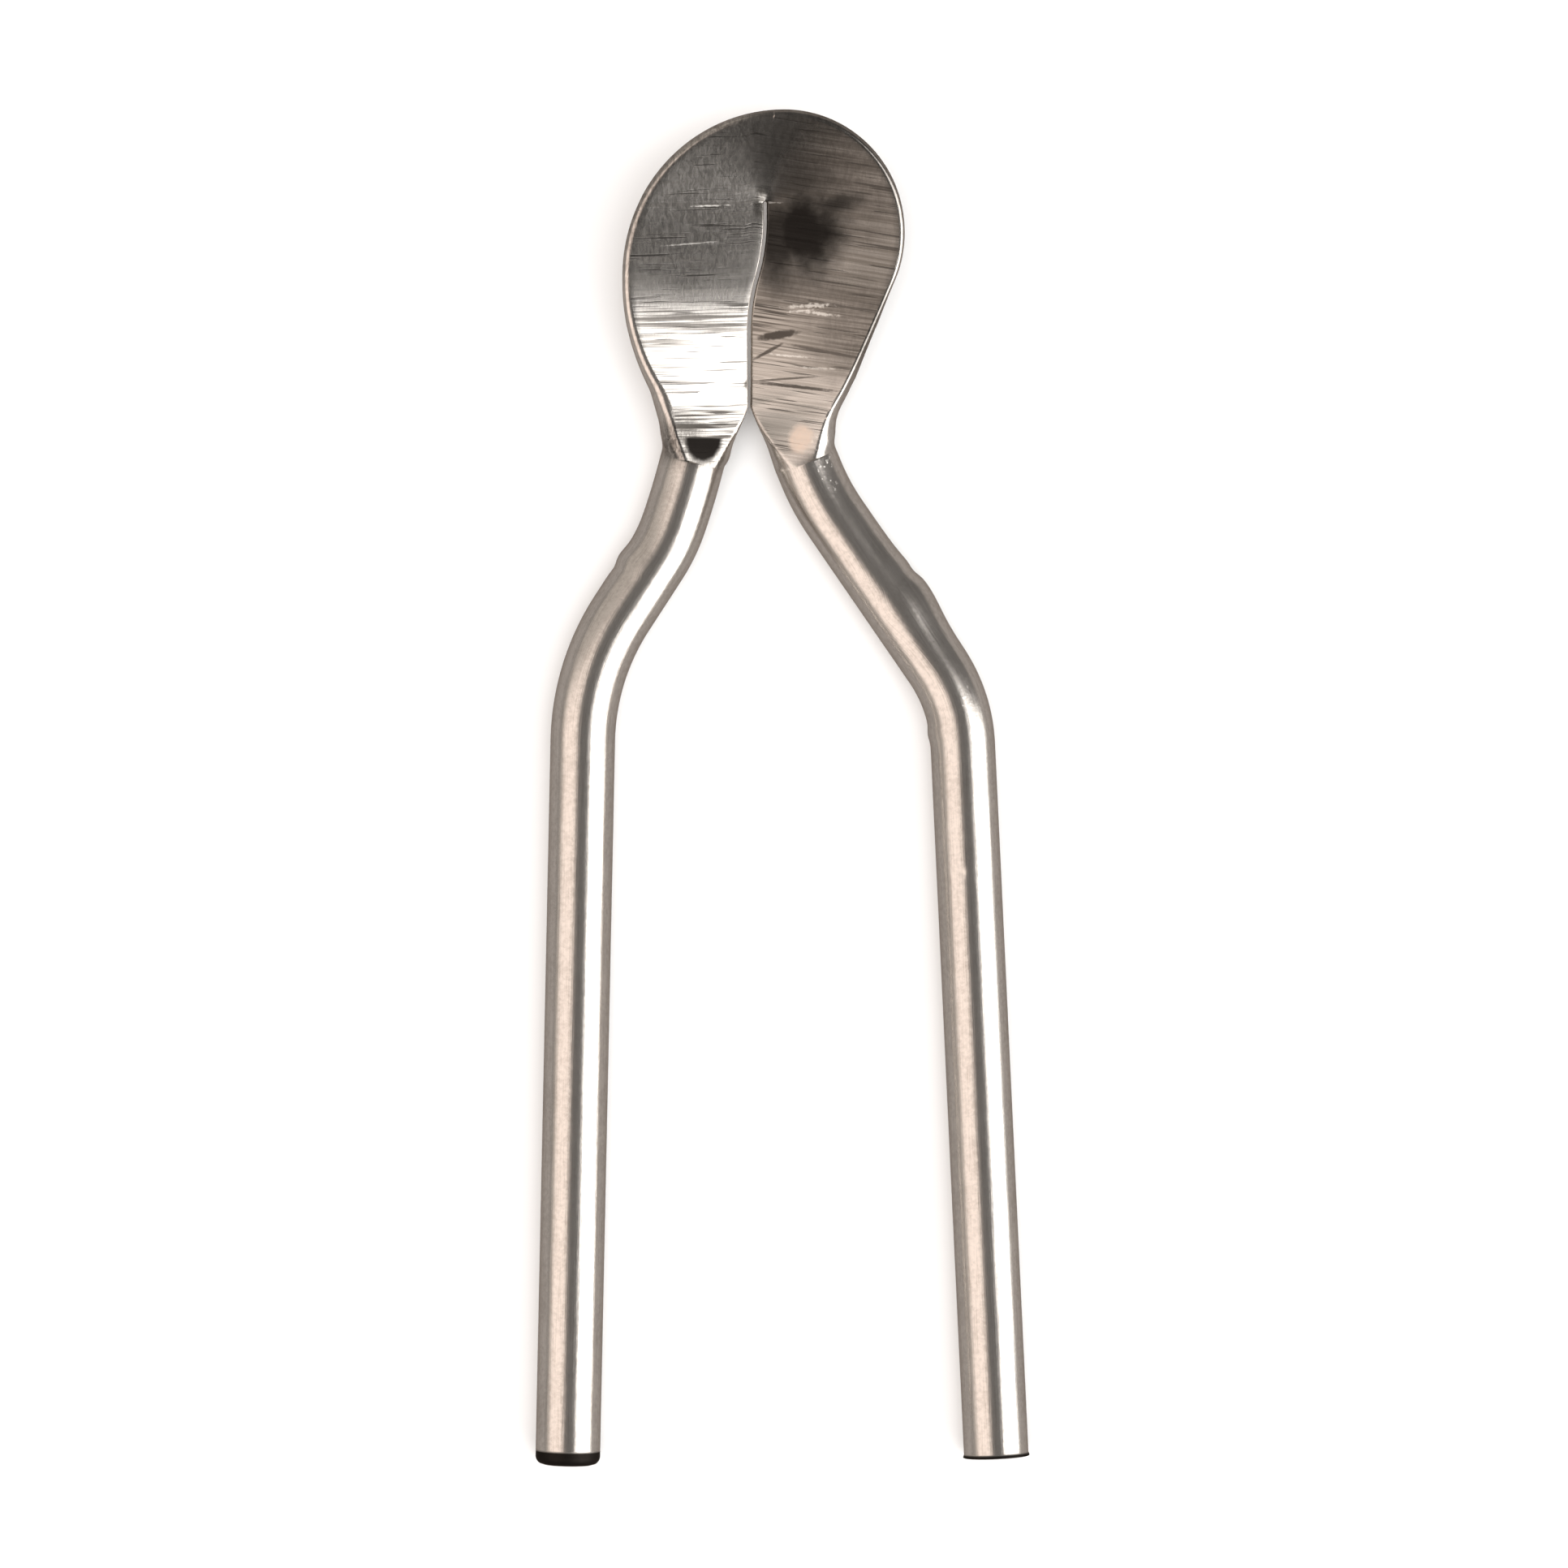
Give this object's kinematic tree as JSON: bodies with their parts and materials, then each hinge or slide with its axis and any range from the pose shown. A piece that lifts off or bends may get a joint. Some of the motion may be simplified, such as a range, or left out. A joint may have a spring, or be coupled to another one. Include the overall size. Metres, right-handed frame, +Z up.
{
  "type": "spring nutcracker",
  "caption": "Nutcracker bent from one round steel bar, with a pressed and dished hood as its spring and two long straight legs to squeeze.",
  "frame": {"origin": "middle of the bounding box on the surface that the tool lies on", "axes": "+Y from the leg ends towards the hood, +Z up out of the hollow of the hood, +X to the right seen from above"},
  "size_m": [0.061, 0.167, 0.0151],
  "materials": {
    "drawn_steel": "satin drawn bar, warm grey",
    "pressed_steel": "pressed flat and ground across, with scratches"
  },
  "bodies": {
    "left_limb": {"left_handle": "drawn_steel", "left_leaf": "pressed_steel", "hood_spring": "pressed_steel"},
    "right_limb": {"right_leaf": "pressed_steel", "right_handle": "drawn_steel"}
  },
  "joints": [
    {"name": "squeeze", "type": "hinge", "parent": "left_limb", "child": "right_limb", "pos_m": [-0.00392, 0.0487, 0.004], "axis": [0, 0, -1], "range_deg": [0, 8], "stiffness_Nm_per_rad": 40, "deforming": ["hood_spring"]}
  ]
}
